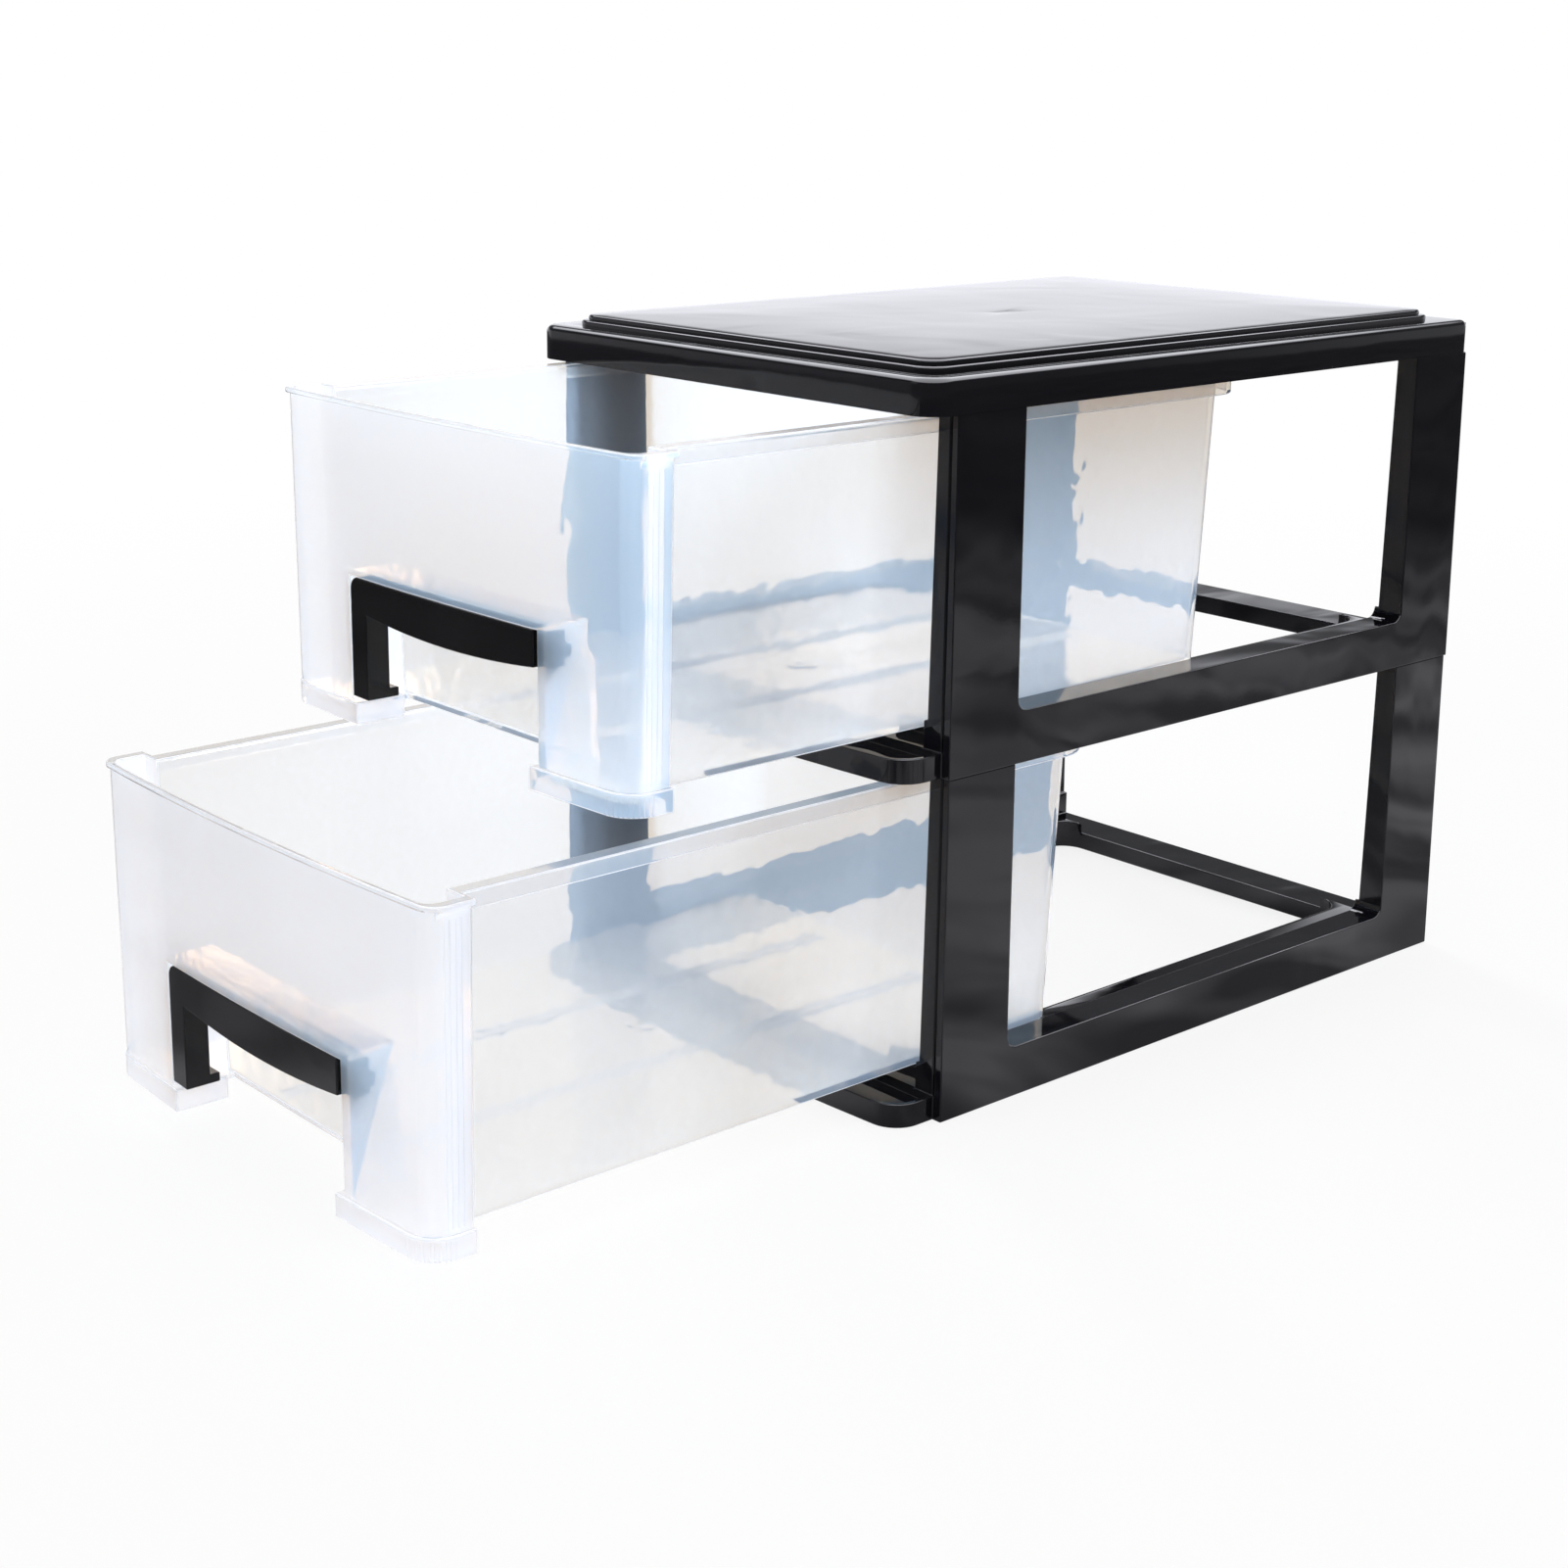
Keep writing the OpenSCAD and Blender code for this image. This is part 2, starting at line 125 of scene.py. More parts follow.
def blended(tree, share, first, second, data_type="FLOAT"):
    """Goes from the first number or colour to the second as the share goes from 0 to 1."""
    made = node(tree, "ShaderNodeMix", data_type=data_type, Factor=share)
    first_socket, result = {"FLOAT": (2, 0), "RGBA": (6, 2)}[data_type]
    feed(tree, first, made.inputs[first_socket])
    feed(tree, second, made.inputs[first_socket + 1])
    return made.outputs[result]


def mixed(tree, share, first, second):
    """Goes from the first shader to the second as the share goes from 0 to 1."""
    made = node(tree, "ShaderNodeMixShader")
    for value, socket in zip((share, first, second), made.inputs):
        feed(tree, value, socket)
    return made.outputs[0]


def new_material(name):
    """An empty material and its node tree."""
    made = bpy.data.materials.new(name)
    made.use_nodes = True
    made.node_tree.nodes.clear()
    return made, made.node_tree


def ray_kinds(tree):
    """Two sockets: 1 where a camera or glass ray arrives, and 1 where a mirror ray arrives.
    Both are 0 for light."""
    path = node(tree, "ShaderNodeLightPath")
    looked_at = worked(tree, "MAXIMUM", path.outputs["Is Camera Ray"], path.outputs["Is Transmission Ray"])
    mirrored = worked(tree, "SUBTRACT", path.outputs["Is Glossy Ray"], looked_at, use_clamp=True)
    return looked_at, mirrored


# The room: white where the camera or the glass looks at it. Mirrors see it white behind the object,
# dimmer behind the camera and bright overhead, and it lights the object with a soft pale grey.
WHITE = (1, 1, 1, 1)
ROOM_LIGHT = 0.78
BEHIND = (-0.763, 0.646, 0)
WALL_SIDES, WALL_TOP = (-0.1, 0.6), (0.13, 0.27)
WALL_DIM, WALL_BRIGHT = 0.22, 1.42
CEILING_START, CEILING_BRIGHT = (0.5, 0.62), 9
ROOM_TONE = (0.93, 0.94, 1, 1)
world = bpy.data.worlds.new("studio")
world.use_nodes = True
scene.world = world
tree = world.node_tree
tree.nodes.clear()
direction = node(tree, "ShaderNodeTexCoord").outputs["Generated"]
height = node(tree, "ShaderNodeSeparateXYZ", Vector=direction).outputs["Z"]
across = ramp(tree, measured(tree, "DOT_PRODUCT", direction, BEHIND), WALL_SIDES, (0, 1))
near_wall = worked(tree, "MULTIPLY", across, ramp(tree, height, WALL_TOP, (1, 0)))
wall = ramp(tree, near_wall, (0, 1), (WALL_DIM, WALL_BRIGHT))
ceiling = ramp(tree, height, CEILING_START, (0, CEILING_BRIGHT))
looked_at, mirrored = ray_kinds(tree)
level = blended(tree, mirrored, ROOM_LIGHT, worked(tree, "ADD", wall, ceiling))
background = node(tree, "ShaderNodeBackground", Color=blended(tree, mirrored, WHITE, ROOM_TONE, "RGBA"),
                  Strength=blended(tree, looked_at, level, 1))
node(tree, "ShaderNodeOutputWorld", Surface=background.outputs[0])

# The floor: a wide pale table top that keeps a faint shadow. Mirrors see it bright and patchy near the
# object and dark further off.
FLOOR_SIZE, FLOOR_DROP = 9, 0.2 * MM
FLOOR_COLOUR = (0.93, 0.93, 0.93, 1)
GLOW_CENTRE, GLOW_REACH, GLOW_NEAR = (0, -0.18, 0), (0.45, 1.1), 0.85
TABLE_CENTRE, TABLE_REACH, TABLE_LEVELS = (0.25, 0, 0), (0.35, 0.85), (1.15, 0.16)
PATCH_SCALE, PATCH_DETAIL, PATCH_TWIST = 11, 2, 0.8
PATCH_REACH, PATCH_LEVELS = (0.38, 0.62), (0.35, 1.3)
TABLE_TONE = (0.95, 0.94, 1, 1)
bpy.ops.mesh.primitive_plane_add(size=FLOOR_SIZE, location=(0, 0, -FLOOR_DROP))
floor = bpy.context.object
floor.name = "floor"
material, tree = new_material("pale_floor")
place = node(tree, "ShaderNodeTexCoord").outputs["Object"]
looked_at, mirrored = ray_kinds(tree)
fade = ramp(tree, measured(tree, "DISTANCE", place, GLOW_CENTRE), GLOW_REACH, (GLOW_NEAR, 1))
share = worked(tree, "MULTIPLY_ADD", looked_at, fade, mirrored)
table = ramp(tree, measured(tree, "DISTANCE", place, TABLE_CENTRE), TABLE_REACH, TABLE_LEVELS)
patches = node(tree, "ShaderNodeTexNoise", Vector=place, Scale=PATCH_SCALE, Detail=PATCH_DETAIL,
               Distortion=PATCH_TWIST)
patchy = worked(tree, "MULTIPLY", table, ramp(tree, patches.outputs["Fac"], PATCH_REACH, PATCH_LEVELS))
paper = node(tree, "ShaderNodeBsdfDiffuse", Color=FLOOR_COLOUR)
glow = node(tree, "ShaderNodeEmission", Color=blended(tree, mirrored, WHITE, TABLE_TONE, "RGBA"),
            Strength=blended(tree, mirrored, 1, patchy))
node(tree, "ShaderNodeOutputMaterial", Surface=mixed(tree, share, paper.outputs[0], glow.outputs[0]))
floor.data.materials.append(material)

# The lamps: soft boxes overhead, behind and in front, and one with a grid that reaches in at the side windows
COOL = (0.93, 0.96, 1)
OBJECT_MIDDLE = (0, -0.15, 0.12)
WINDOW_AIM, WINDOW_GRID = (0.05, -0.06, 0.12), 32


def softbox(name, place, size, radiance, aim=OBJECT_MIDDLE, spread=180, colour=(1, 1, 1), in_mirrors=True):
    """A soft lamp. Its power follows from its size, so that its face has the given radiance."""
    lamp = bpy.data.lights.new(name, "AREA")
    lamp.shape = "RECTANGLE"
    lamp.size, lamp.size_y = size
    lamp.energy = radiance * math.pi * size[0] * size[1]
    lamp.spread = math.radians(spread)
    lamp.color = colour
    made = bpy.data.objects.new(name, lamp)
    scene.collection.objects.link(made)
    made.visible_camera = False
    made.visible_glossy = in_mirrors
    made.location = place
    made.rotation_euler = (Vector(aim) - Vector(place)).to_track_quat("-Z", "Y").to_euler()


softbox("overhead_softbox", (0.2, -0.2, 2.2), (1.6, 1.6), 0.6)
softbox("back_softbox", (-0.9, 2.0, 0.6), (2.4, 1.1), 0.95, colour=COOL, in_mirrors=False)
softbox("front_softbox", (-0.9, -2.1, 1.2), (1.0, 1.2), 0.8)
softbox("window_softbox", (-1.1, 0.3, 0.4), (0.35, 0.35), 1.2, WINDOW_AIM, WINDOW_GRID, COOL, in_mirrors=False)


# ---- Tier frames ----
# Each tier is one black moulding in glossy polypropylene: a base ring with rails and runners,
# a ledge in front and four hollow posts. The upper one pushes onto the plugs of the lower one.
TIER_HEIGHT = 112 * MM
EDGE_ROUND = 0.42 * MM
CREASE = math.radians(28)
WELD, FLAT_WITHIN = 0.02 * MM, math.radians(0.6)
BLACK, BLACK_ROUGH, PLASTIC_IOR = (0.004, 0.004, 0.0055), 0.06, 1.35
CLOUD_REACH, ROUGH_SPREAD, CLOUD_LIFT = (0.3, 0.7), (0.75, 1.35), 1.5
CLOUD_SCALE, CLOUD_DETAIL = 14, 4
PEEL_SCALE, PEEL_DETAIL = 900, 2


def deselect_all():
    if bpy.context.object and bpy.context.object.mode != "OBJECT":
        bpy.ops.object.mode_set(mode="OBJECT")
    bpy.ops.object.select_all(action="DESELECT")


def activate(piece):
    deselect_all()
    piece.select_set(True)
    bpy.context.view_layer.objects.active = piece


def copy_of(node_name, name):
    """A welded copy of a CAD solid, for a piece that keeps its shape and gets softer edges."""
    deselect_all()
    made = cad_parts[node_name].copy()
    made.data = made.data.copy()
    made.name = made.data.name = name
    made.parent = None
    for key in list(made.keys()):
        del made[key]
    made.hide_render = False
    scene.collection.objects.link(made)
    made.data.materials.clear()
    activate(made)
    bpy.ops.object.mode_set(mode="EDIT")
    bpy.ops.mesh.select_all(action="SELECT")
    bpy.ops.mesh.remove_doubles(threshold=WELD)
    bpy.ops.mesh.dissolve_limited(angle_limit=FLAT_WITHIN)
    bpy.ops.object.mode_set(mode="OBJECT")
    return made


def second_copy(piece, name, move):
    """The same moulding once more, moved in its mesh."""
    deselect_all()
    made = piece.copy()
    made.data = piece.data.copy()
    made.name = made.data.name = name
    scene.collection.objects.link(made)
    made.data.transform(Matrix.Translation(move))
    return made


def apply_modifier(piece, kind, **values):
    activate(piece)
    modifier = piece.modifiers.new(kind.lower(), kind)
    for name, value in values.items():
        setattr(modifier, name, value)
    bpy.ops.object.modifier_apply(modifier=modifier.name)


def soften_edges(piece, width, segments=2):
    """Rounds every crease a little, and keeps the broad faces flat in the light."""
    activate(piece)
    bpy.ops.object.shade_smooth_by_angle(angle=CREASE)
    apply_modifier(piece, "BEVEL", width=width, segments=segments, limit_method="ANGLE",
                   angle_limit=CREASE, harden_normals=True, use_clamp_overlap=False)


def flow_group():
    """Long soft ripples and fine orange peel that a moulded plastic face keeps, as a height, and soft clouds."""
    made = bpy.data.node_groups.new("moulded_flow", "ShaderNodeTree")
    for name, kind, value in (("Scale", "NodeSocketFloat", 30), ("Stretch", "NodeSocketVector", (1, 1, 1)),
                              ("Fine", "NodeSocketFloat", 0.2)):
        made.interface.new_socket(name, in_out="INPUT", socket_type=kind).default_value = value
    for name in ("Height", "Cloud"):
        made.interface.new_socket(name, in_out="OUTPUT", socket_type="NodeSocketFloat")
    given = node(made, "NodeGroupInput")
    place = node(made, "ShaderNodeTexCoord").outputs["Object"]
    stretched = node(made, "ShaderNodeVectorMath", operation="MULTIPLY", Vector=place)
    made.links.new(given.outputs["Stretch"], stretched.inputs[1])
    ripple = node(made, "ShaderNodeTexNoise", Vector=stretched.outputs[0], Scale=given.outputs["Scale"],
                  Detail=1.5, Roughness=0.4, Distortion=0.6)
    peel = node(made, "ShaderNodeTexNoise", Vector=place, Scale=PEEL_SCALE, Detail=PEEL_DETAIL)
    cloud = node(made, "ShaderNodeTexNoise", Vector=place, Scale=CLOUD_SCALE, Detail=CLOUD_DETAIL)
    fine = worked(made, "MULTIPLY_ADD", peel.outputs["Fac"], given.outputs["Fine"], ripple.outputs["Fac"])
    node(made, "NodeGroupOutput", Height=fine, Cloud=cloud.outputs["Fac"])
    return made


moulded_flow = flow_group()


def black_plastic(name, colour, rough, ripple, scale, stretch, fine):
    """Black moulded plastic: its gloss varies in soft clouds, and long ripples bend what it reflects."""
    made, tree = new_material(name)
    flow = node(tree, "ShaderNodeGroup", node_tree=moulded_flow, Scale=scale, Stretch=stretch, Fine=fine)
    cloud = flow.outputs["Cloud"]
    bump = node(tree, "ShaderNodeBump", Strength=1.0, Distance=ripple, Height=flow.outputs["Height"])
    tint = blended(tree, cloud, (*colour, 1), (*(c * CLOUD_LIFT for c in colour), 1), "RGBA")
    dull = ramp(tree, cloud, CLOUD_REACH, [rough * share for share in ROUGH_SPREAD])
    plastic = node(tree, "ShaderNodeBsdfPrincipled", IOR=PLASTIC_IOR, Base_Color=tint, Roughness=dull,
                   Normal=bump.outputs[0])
    node(tree, "ShaderNodeOutputMaterial", Surface=plastic.outputs[0])
    return made


black_gloss = black_plastic("black_gloss", BLACK, BLACK_ROUGH, ripple=0.8 * MM, scale=34,
                            stretch=(1, 0.6, 0.35), fine=0.003)
lower_frame = copy_of("lower_frame", "lower_frame_moulding")
soften_edges(lower_frame, EDGE_ROUND)
lower_frame.data.materials.append(black_gloss)
upper_frame = second_copy(lower_frame, "upper_frame_moulding", (0, 0, TIER_HEIGHT))
for piece, node_name in ((lower_frame, "lower_frame"), (upper_frame, "upper_frame")):
    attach(piece, "tower")
    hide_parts(node_name)


# ---- Cover ----
# One black moulding that closes the tower: a skirt with soft corners, a border and a raised panel,
# open underneath, with four sockets for the plugs of the upper posts.
COVER_LOW, COVER_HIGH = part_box("top_cover")
SKIRT_TOP = COVER_LOW.z + 11.5 * MM
SKIRT_FRONT_ROUND, SKIRT_BACK_ROUND, SKIRT_EDGE = 9 * MM, 4 * MM, 2.2 * MM
WALL = 2 * MM
BORDER = 9 * MM
STEP_UP, STEP_IN = 1.8 * MM, 2 * MM
LOWER_STEP_ROUND, LOWER_STEP_EDGE = 8 * MM, 0.7 * MM
UPPER_STEP_ROUND, UPPER_STEP_EDGE = 7 * MM, 0.8 * MM
CORNER_STEPS = 10
CROWN_REACH, CROWN_UP, CROWN_RINGS = 48 * MM, 0.85 * MM, 12
GATE = Vector((4 * MM, -0.142))
# Each ring round the gate's dimple: its size as a share of the last one, and its height in mm.
# The ring after MOVED_RING is the first round one.
GATE_RINGS = ((0.62, 0), (0.4, 0), (0.55, -0.06), (0.55, -0.22), (0.5, -0.36))
MOVED_RING = 1
HOLLOW_FRONT_ROUND, HOLLOW_BACK_ROUND = 7 * MM, 2 * MM
PANEL_HOLLOW_DEEP, PANEL_HOLLOW_ROUND = 3 * MM, 5 * MM
SOCKET_WIDE, SOCKET_DEEP, SOCKET_RISE = 10.4 * MM, 30 * MM, 0.4 * MM
SOCKET_ROUND, SOCKET_HOLLOW_ROUND = 0.5 * MM, 0.3 * MM
FRONT_SOCKETS = -259 * MM
CUT_WELD = 0.003 * MM
SAME_PLACE = 1e-6
COVER_CREASE = math.radians(30)


def rounded_block(name, low, high, front_round, back_round, steps=8):
    """A block with its upright edges rounded."""
    deselect_all()
    low, high = Vector(low), Vector(high)
    bpy.ops.mesh.primitive_cube_add(size=1, location=(low + high) / 2, scale=high - low)
    made = bpy.context.object
    made.name = made.data.name = name
    bpy.ops.object.transform_apply(location=True, rotation=True, scale=True)
    for radius, at_front in ((front_round, True), (back_round, False)):
        bpy.ops.object.mode_set(mode="EDIT")
        bpy.ops.mesh.select_all(action="DESELECT")
        shape = bmesh.from_edit_mesh(made.data)
        middle = (low.y + high.y) / 2
        for edge in shape.edges:
            a, b = (v.co for v in edge.verts)
            upright = abs(a.z - b.z) > 0.9 * (high.z - low.z)
            at_side = min(abs(a.x - low.x), abs(a.x - high.x)) < SAME_PLACE
            at_end = min(abs(a.y - low.y), abs(a.y - high.y)) < SAME_PLACE
            if upright and at_side and at_end and (a.y < middle) == at_front:
                edge.select_set(True)
        bmesh.update_edit_mesh(made.data)
        bpy.ops.mesh.bevel(offset=radius, segments=steps, affect="EDGES")
        bpy.ops.object.mode_set(mode="OBJECT")
    return made


def select_top(piece, height):
    """In edit mode, selects the level faces at this height that look up."""
    bpy.ops.mesh.select_all(action="DESELECT")
    bpy.ops.mesh.select_mode(type="FACE")
    shape = bmesh.from_edit_mesh(piece.data)
    for face in shape.faces:
        if face.normal.z > 0.99 and abs(face.calc_center_median().z - height) < SAME_PLACE:
            face.select_set(True)
    bmesh.update_edit_mesh(piece.data)


def round_top(piece, height, width, segments):
    """Rounds the edges of a block's top face, and stays in edit mode."""
    activate(piece)
    bpy.ops.object.mode_set(mode="EDIT")
    select_top(piece, height)
    bpy.ops.mesh.bevel(offset=width, segments=segments, affect="EDGES")


def cut(piece, tool, operation="DIFFERENCE"):
    """Cuts one block out of a piece, or joins it on, and takes the block away."""
    apply_modifier(piece, "BOOLEAN", object=tool, operation=operation, solver="EXACT")
    bpy.data.objects.remove(tool)


def weld_cuts(piece):
    """Merges the double points that cutting leaves."""
    activate(piece)
    bpy.ops.object.mode_set(mode="EDIT")
    bpy.ops.mesh.select_all(action="SELECT")
    bpy.ops.mesh.remove_doubles(threshold=CUT_WELD)
    bpy.ops.object.mode_set(mode="OBJECT")


cover = rounded_block("cover_moulding", COVER_LOW, (COVER_HIGH.x, COVER_HIGH.y, SKIRT_TOP),
                      SKIRT_FRONT_ROUND, SKIRT_BACK_ROUND, CORNER_STEPS)
round_top(cover, SKIRT_TOP, SKIRT_EDGE, 5)

panel_low = Vector((COVER_LOW.x + BORDER, COVER_LOW.y + BORDER, SKIRT_TOP - MM))
panel_high = Vector((COVER_HIGH.x - BORDER, COVER_HIGH.y - BORDER, SKIRT_TOP + STEP_UP))
lower_step = rounded_block("lower_step", panel_low, panel_high, LOWER_STEP_ROUND, LOWER_STEP_ROUND, CORNER_STEPS)
round_top(lower_step, panel_high.z, LOWER_STEP_EDGE, 3)

step_low = panel_low + Vector((STEP_IN, STEP_IN, 0))
step_high = panel_high + Vector((-STEP_IN, -STEP_IN, STEP_UP))
upper_step = rounded_block("upper_step", step_low, step_high, UPPER_STEP_ROUND, UPPER_STEP_ROUND, CORNER_STEPS)
round_top(upper_step, step_high.z, UPPER_STEP_EDGE, 3)

# The panel's slight crown, ring by ring towards the middle
select_top(upper_step, step_high.z)
half = (step_high - step_low) / 2
centre = (step_high + step_low) / 2
reach = 0
rise = 0
for ring in range(1, CROWN_RINGS + 1):
    new_reach = CROWN_REACH * ring / CROWN_RINGS
    new_rise = CROWN_UP * math.sin(math.pi / 2 * ring / CROWN_RINGS)
    shrink = ((half.x - new_reach) / (half.x - reach), (half.y - new_reach) / (half.y - reach), 1)
    bpy.ops.mesh.extrude_region_move(TRANSFORM_OT_translate={"value": (0, 0, new_rise - rise)})
    bpy.ops.transform.resize(value=shrink, center_override=(centre.x, centre.y, step_high.z + new_rise))
    reach, rise = new_reach, new_rise

# The dimple that the gate leaves on the panel
at = Vector((centre.x, centre.y))
for ring, (shrink, drop) in enumerate(GATE_RINGS):
    bpy.ops.mesh.extrude_region_move()
    bpy.ops.transform.resize(value=(shrink, shrink, 1), center_override=(at.x, at.y, 0))
    if ring == MOVED_RING:
        bpy.ops.transform.translate(value=(GATE.x - at.x, GATE.y - at.y, 0))
        at = GATE
        bpy.ops.transform.tosphere(value=1)
    shape = bmesh.from_edit_mesh(upper_step.data)
    for vert in shape.verts:
        if vert.select:
            vert.co.z = step_high.z + CROWN_UP + drop * MM
    bmesh.update_edit_mesh(upper_step.data)
bpy.ops.object.mode_set(mode="OBJECT")

cut(cover, lower_step, "UNION")
cut(cover, upper_step, "UNION")
hollow_low = COVER_LOW + Vector((WALL, WALL, -WALL))
hollow_high = (COVER_HIGH.x - WALL, COVER_HIGH.y - WALL, SKIRT_TOP - WALL)
cut(cover, rounded_block("hollow", hollow_low, hollow_high, HOLLOW_FRONT_ROUND, HOLLOW_BACK_ROUND))
panel_in = Vector((WALL, WALL, 0))
cut(cover, rounded_block("panel_hollow", step_low + panel_in - Vector((0, 0, PANEL_HOLLOW_DEEP)),
                         step_high - panel_in - Vector((0, 0, WALL)), PANEL_HOLLOW_ROUND, PANEL_HOLLOW_ROUND))
for side in (-1, 1):
    for low_y in (FRONT_SOCKETS, COVER_HIGH.y - WALL / 2 - SOCKET_DEEP):
        x0, x1 = sorted((side * (COVER_HIGH.x - SOCKET_WIDE), side * (COVER_HIGH.x - WALL / 2)))
        socket = rounded_block("socket", (x0, low_y, COVER_LOW.z + SOCKET_RISE),
                               (x1, low_y + SOCKET_DEEP, SKIRT_TOP - WALL / 2), SOCKET_ROUND, SOCKET_ROUND, 2)
        hole_high = (x1 - WALL, low_y + SOCKET_DEEP - WALL, SKIRT_TOP - 1.5 * WALL)
        cut(socket, rounded_block("socket_hollow", (x0 + WALL, low_y + WALL, COVER_LOW.z - WALL), hole_high,
                                  SOCKET_HOLLOW_ROUND, SOCKET_HOLLOW_ROUND, 2))
        cut(cover, socket, "UNION")
weld_cuts(cover)
bpy.ops.object.shade_smooth_by_angle(angle=COVER_CREASE)
cover.data.materials.append(black_plastic("black_gloss_cover", BLACK, BLACK_ROUGH, ripple=0.25 * MM, scale=24,
                                          stretch=(1, 1, 1), fine=0.002))
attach(cover, "tower")
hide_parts("top_cover")


# ---- Drawers ----
# Each drawer is one thin moulding in natural polypropylene: milky and a little blue against black,
# clear enough to look through, with a bowed front, a rim with a lip, two feet and a pocket for the fingers.
MILK_TINT = (0.03, 0.035, 0.045)
SHADE_TINT = (0.92, 0.93, 0.95)
# The walls aren't quite even, so what shows through them wavers a little.
WALL_BEND = 1.03
WAVE_SCALE, WAVE_HEIGHT = 120, 1.7 * MM
BLUR_IOR, GLOSS_ROUGH = 1.4, 0.1
CLEAR_SCALE, CLEAR_STRETCH, CLEAR_FINE, CLEAR_RIPPLE = 22, (1, 1, 0.5), 0.04, 0.25 * MM


def clear_plastic(name, through, blurred, spread, milkiness=MILK_TINT):
    """Natural polypropylene. At each wall, some light goes through, warmer and bent a little by the uneven
    wall, and the haze spreads the rest, bluer. The face where the light leaves only turns it back."""
    made, tree = new_material(name)
    flow = node(tree, "ShaderNodeGroup", node_tree=moulded_flow, Scale=CLEAR_SCALE, Stretch=CLEAR_STRETCH,
                Fine=CLEAR_FINE)
    bump = node(tree, "ShaderNodeBump", Strength=1.0, Distance=CLEAR_RIPPLE, Height=flow.outputs["Height"])
    place = node(tree, "ShaderNodeTexCoord").outputs["Object"]
    uneven = node(tree, "ShaderNodeTexNoise", Vector=place, Scale=WAVE_SCALE, Detail=1.0)
    wave = node(tree, "ShaderNodeBump", Strength=1.0, Distance=WAVE_HEIGHT, Height=uneven.outputs["Fac"])
    sharp = node(tree, "ShaderNodeBsdfRefraction", Color=(*through, 1), Roughness=0.0, IOR=WALL_BEND,
                 Normal=wave.outputs[0])
    blur = node(tree, "ShaderNodeBsdfRefraction", Color=(*blurred, 1), Roughness=1.0, IOR=BLUR_IOR)
    haze = node(tree, "ShaderNodeBsdfTranslucent", Color=(*spread, 1))
    milk = node(tree, "ShaderNodeBsdfDiffuse", Color=(*milkiness, 1))
    wall = sharp
    for more in (blur, haze, milk):
        both = node(tree, "ShaderNodeAddShader")
        tree.links.new(wall.outputs[0], both.inputs[0])
        tree.links.new(more.outputs[0], both.inputs[1])
        wall = both
    gloss = node(tree, "ShaderNodeBsdfPrincipled", Base_Color=WHITE, Metallic=1.0, Roughness=GLOSS_ROUGH,
                 Normal=bump.outputs[0])
    edge = node(tree, "ShaderNodeFresnel", IOR=PLASTIC_IOR, Normal=bump.outputs[0])
    skin = mixed(tree, edge.outputs[0], wall.outputs[0], gloss.outputs[0])
    shadow = node(tree, "ShaderNodeLightPath").outputs["Is Shadow Ray"]
    shade = node(tree, "ShaderNodeBsdfTransparent", Color=(*SHADE_TINT, 1))
    enter = mixed(tree, shadow, skin, shade.outputs[0])
    unbend = node(tree, "ShaderNodeBsdfGlass", Color=WHITE, Roughness=0.0, IOR=WALL_BEND)
    pass_light = node(tree, "ShaderNodeBsdfTransparent", Color=WHITE)
    leave = mixed(tree, shadow, unbend.outputs[0], pass_light.outputs[0])
    leaving = node(tree, "ShaderNodeNewGeometry").outputs["Backfacing"]
    node(tree, "ShaderNodeOutputMaterial", Surface=mixed(tree, leaving, enter, leave))
    return made


clear_drawer = clear_plastic("clear_drawer", through=(0.64, 0.55, 0.44), blurred=(0.04, 0.055, 0.07),
                             spread=(0.165, 0.22, 0.295))
# The front is thicker than the other walls, and hazier. The floor has a matt grain, and is milky.
clear_front = clear_plastic("clear_drawer_front", through=(0.51, 0.37, 0.24), blurred=(0.05, 0.07, 0.09),
                            spread=(0.37, 0.49, 0.62))
clear_floor = clear_plastic("clear_drawer_floor", through=(0.36, 0.31, 0.23), blurred=(0.03, 0.03, 0.04),
                            spread=(0.18, 0.20, 0.22), milkiness=(0.42, 0.44, 0.46))
# The rounded creases get a whiter, hazier copy of the plastic: a painted highlight that stands in for light
# running along inside the walls and coming out at the creases.
painted_highlight_edge = clear_plastic("clear_drawer_painted_highlight", through=(0.12, 0.10, 0.08), blurred=(0.10, 0.11, 0.12),
                           spread=(0.44, 0.48, 0.53), milkiness=(0.31, 0.32, 0.34))
# The order of these materials in a drawer's material slots, with the creases' painted highlight second
WALL_FINISH, PAINTED_HIGHLIGHT_SLOT, FRONT_FINISH, FLOOR_FINISH = range(4)

# Sizes on a drawer are measured from the foot of its front, in the middle.
FRONT = Vector((0, -0.3788, 0.112))
UPPER_PULL, LOWER_PULL = 102 * MM, 171 * MM
RIM_Z, RIM_THICK, LIP_DEEP = 111 * MM, 1.6 * MM, 18 * MM
FLOOR_Z = 12.3 * MM
FOOT_TOP = 15.7 * MM
FRONT_DEEP = 16.5 * MM
DRAWER_EDGE = 0.5 * MM
DRAWER_CREASE = math.radians(38)
LEVEL_WITHIN = 0.05 * MM
SLOT_LOW, SLOT_HIGH = Vector((48, 1.5, 43)) * MM, Vector((52, 10.5, 58.5)) * MM
upper_drawer = copy_of("upper_drawer", "upper_drawer_moulding")
upper_drawer.data.materials.append(clear_drawer)
upper_drawer.data.materials.append(painted_highlight_edge)
